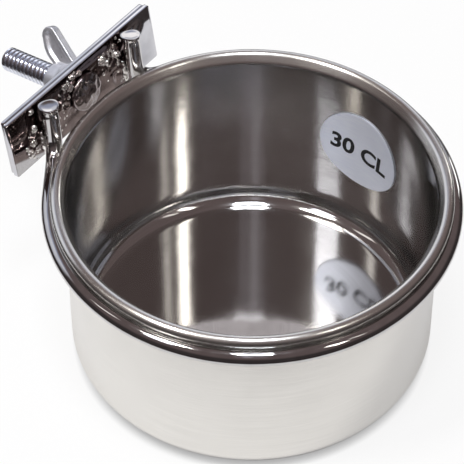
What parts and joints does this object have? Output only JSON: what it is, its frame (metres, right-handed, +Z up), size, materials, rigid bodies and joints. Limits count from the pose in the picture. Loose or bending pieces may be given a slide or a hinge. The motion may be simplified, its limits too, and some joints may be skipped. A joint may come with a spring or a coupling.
{
  "type": "clamp-on pet bowl",
  "caption": "Round stainless steel feeding cup with a rolled rim, hung in a wire ring with a plate clamp, bolt and wing nut that grips the bars of a cage or crate.",
  "frame": {"origin": "centre of the cup's flat base, on the surface it stands on", "axes": "+Z up along the cup's axis, +Y towards the clamp, +X to the right seen from the cup's front"},
  "size_m": [0.1, 0.1267, 0.0616],
  "materials": {
    "cup_steel": "polished stainless sheet",
    "label_foil": "satin foil sticker",
    "ring_chrome": "bright chrome on steel wire",
    "plate_chrome": "bright chrome on steel plate",
    "jaw_chrome": "bright chrome on steel plate",
    "bolt_zinc": "bright zinc plating",
    "nut_casting": "zinc plated casting, grainy"
  },
  "bodies": {
    "holder": {"holder_ring": "ring_chrome", "front_plate": "plate_chrome", "clamp_bolt": "bolt_zinc"},
    "cup": {"cup": "cup_steel", "capacity_label": "label_foil"},
    "jaw": {"back_plate": "jaw_chrome"},
    "nut": {"wing_nut": "nut_casting"}
  },
  "joints": [
    {"name": "cup_lift", "type": "slide", "parent": "holder", "child": "cup", "axis": [0, 0, 1], "range_m": [0, 0.055]},
    {"name": "jaw_slide", "type": "slide", "parent": "holder", "child": "jaw", "axis": [0, 0.989, -0.1478], "range_m": [0, 0.012]},
    {"name": "nut_spin", "type": "hinge", "parent": "jaw", "child": "nut", "pos_m": [0, 0.05411, 0.05194], "axis": [0, 0.989, -0.1478], "range_deg": [0, 3402]}
  ],
  "couplings": [
    {"joint": "nut_spin", "follows": "jaw_slide", "rad_per_m": 4947.4}
  ]
}
